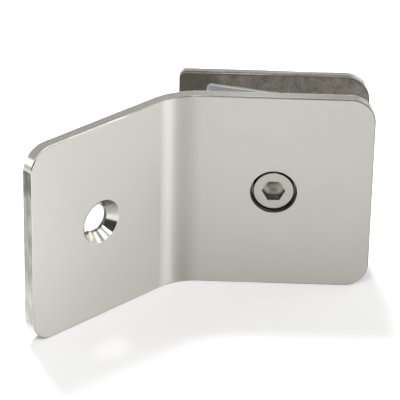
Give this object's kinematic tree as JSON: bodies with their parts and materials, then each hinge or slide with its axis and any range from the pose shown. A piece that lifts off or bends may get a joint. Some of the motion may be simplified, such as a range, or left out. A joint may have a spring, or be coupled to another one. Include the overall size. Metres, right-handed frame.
{
  "type": "glass clamp",
  "caption": "Folded steel clamp that holds a glass panel at an obtuse angle to a wall: countersunk wall wing, and a glass wing with a gasketed clamp plate drawn up by a cap screw.",
  "frame": {"origin": "centre of the wall hole on the face that lies against the wall, at mid-height", "axes": "+X along the glass wing to its free end, +Y along the clamp screw from its head to the clamp plate, +Z along the fold"},
  "size_m": [0.0801, 0.0466, 0.05],
  "materials": {
    "satin_steel": "fine satin with polished edges",
    "plate_steel": "satin outside and edges, dark and unpolished on the inner face",
    "turned_steel": "plain turned",
    "screw_steel": "satin head with a plain thread",
    "clear_gasket": "soft translucent sheet"
  },
  "bodies": {
    "bracket": {"angle_plate": "satin_steel", "head_seat": "turned_steel", "front_gasket": "clear_gasket"},
    "screw": {"clamp_screw": "screw_steel"},
    "clamp": {"clamp_plate": "plate_steel", "threaded_boss": "turned_steel", "rear_gasket": "clear_gasket"}
  },
  "joints": [
    {"name": "screw_turn", "type": "hinge", "parent": "bracket", "child": "screw", "pos_m": [0.04199, 0.01485, 0], "axis": [0, 1, 0], "range_deg": [-1080, 360]},
    {"name": "plate_travel", "type": "slide", "parent": "bracket", "child": "clamp", "axis": [0, 1, 0], "range_m": [-0.001, 0.003]}
  ],
  "couplings": [
    {"joint": "screw_turn", "follows": "plate_travel", "rad_per_m": -6283.2}
  ]
}
